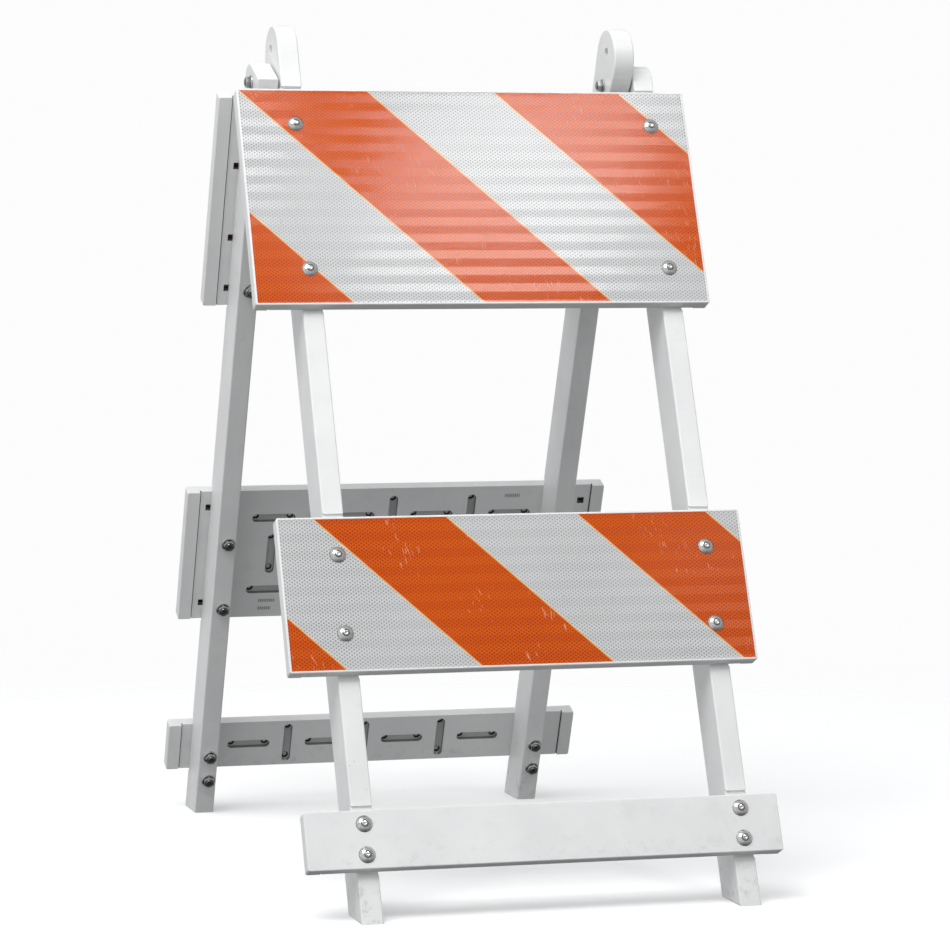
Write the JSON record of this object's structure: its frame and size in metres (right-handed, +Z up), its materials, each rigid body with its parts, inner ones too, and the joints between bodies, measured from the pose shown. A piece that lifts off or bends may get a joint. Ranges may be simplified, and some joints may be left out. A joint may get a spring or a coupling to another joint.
{
  "type": "folding traffic barricade",
  "caption": "Folding A-frame traffic barricade: white plastic legs and boards hinged at the top, with orange and white striped reflective boards and a plain bottom rail.",
  "frame": {"origin": "on the ground, midway between the four feet", "axes": "+Z up, +X along the boards, -Y towards the front frame, +Y towards the rear frame"},
  "size_m": [0.6096, 0.9894, 1.1103],
  "materials": {
    "white_plastic": "semi-gloss moulded white polyethylene, lightly scuffed",
    "orange_sheeting": "glossy prismatic retroreflective sheeting, orange",
    "white_sheeting": "glossy prismatic retroreflective sheeting, white",
    "plated_steel": "bright zinc-plated steel"
  },
  "bodies": {
    "front_frame": {"front_tall_leg": "white_plastic", "front_short_leg": "white_plastic", "front_top_board": "white_plastic", "front_middle_board": "white_plastic", "front_bottom_rail": "white_plastic", "front_top_board_orange_sheeting": "orange_sheeting", "front_top_board_white_sheeting": "white_sheeting", "front_middle_board_orange_sheeting": "orange_sheeting", "front_middle_board_white_sheeting": "white_sheeting", "front_top_board_bolts": "plated_steel", "front_middle_board_bolts": "plated_steel", "front_bottom_rail_bolts": "plated_steel", "front_top_board_nuts": "plated_steel", "front_middle_board_nuts": "plated_steel", "front_bottom_rail_nuts": "plated_steel", "left_hinge_bolt": "plated_steel", "left_hinge_nut": "plated_steel", "left_hinge_washer": "plated_steel", "right_hinge_bolt": "plated_steel", "right_hinge_nut": "plated_steel", "right_hinge_washer": "plated_steel"},
    "rear_frame": {"rear_tall_leg": "white_plastic", "rear_short_leg": "white_plastic", "rear_top_board": "white_plastic", "rear_middle_board": "white_plastic", "rear_bottom_rail": "white_plastic", "rear_top_board_orange_sheeting": "orange_sheeting", "rear_top_board_white_sheeting": "white_sheeting", "rear_middle_board_orange_sheeting": "orange_sheeting", "rear_middle_board_white_sheeting": "white_sheeting", "rear_top_board_bolts": "plated_steel", "rear_middle_board_bolts": "plated_steel", "rear_bottom_rail_bolts": "plated_steel", "rear_top_board_nuts": "plated_steel", "rear_middle_board_nuts": "plated_steel", "rear_bottom_rail_nuts": "plated_steel"}
  },
  "joints": [
    {"name": "fold", "type": "hinge", "parent": "front_frame", "child": "rear_frame", "pos_m": [0, 0, 1.0348], "axis": [-1, 0, 0], "range_deg": [0, 47]}
  ]
}
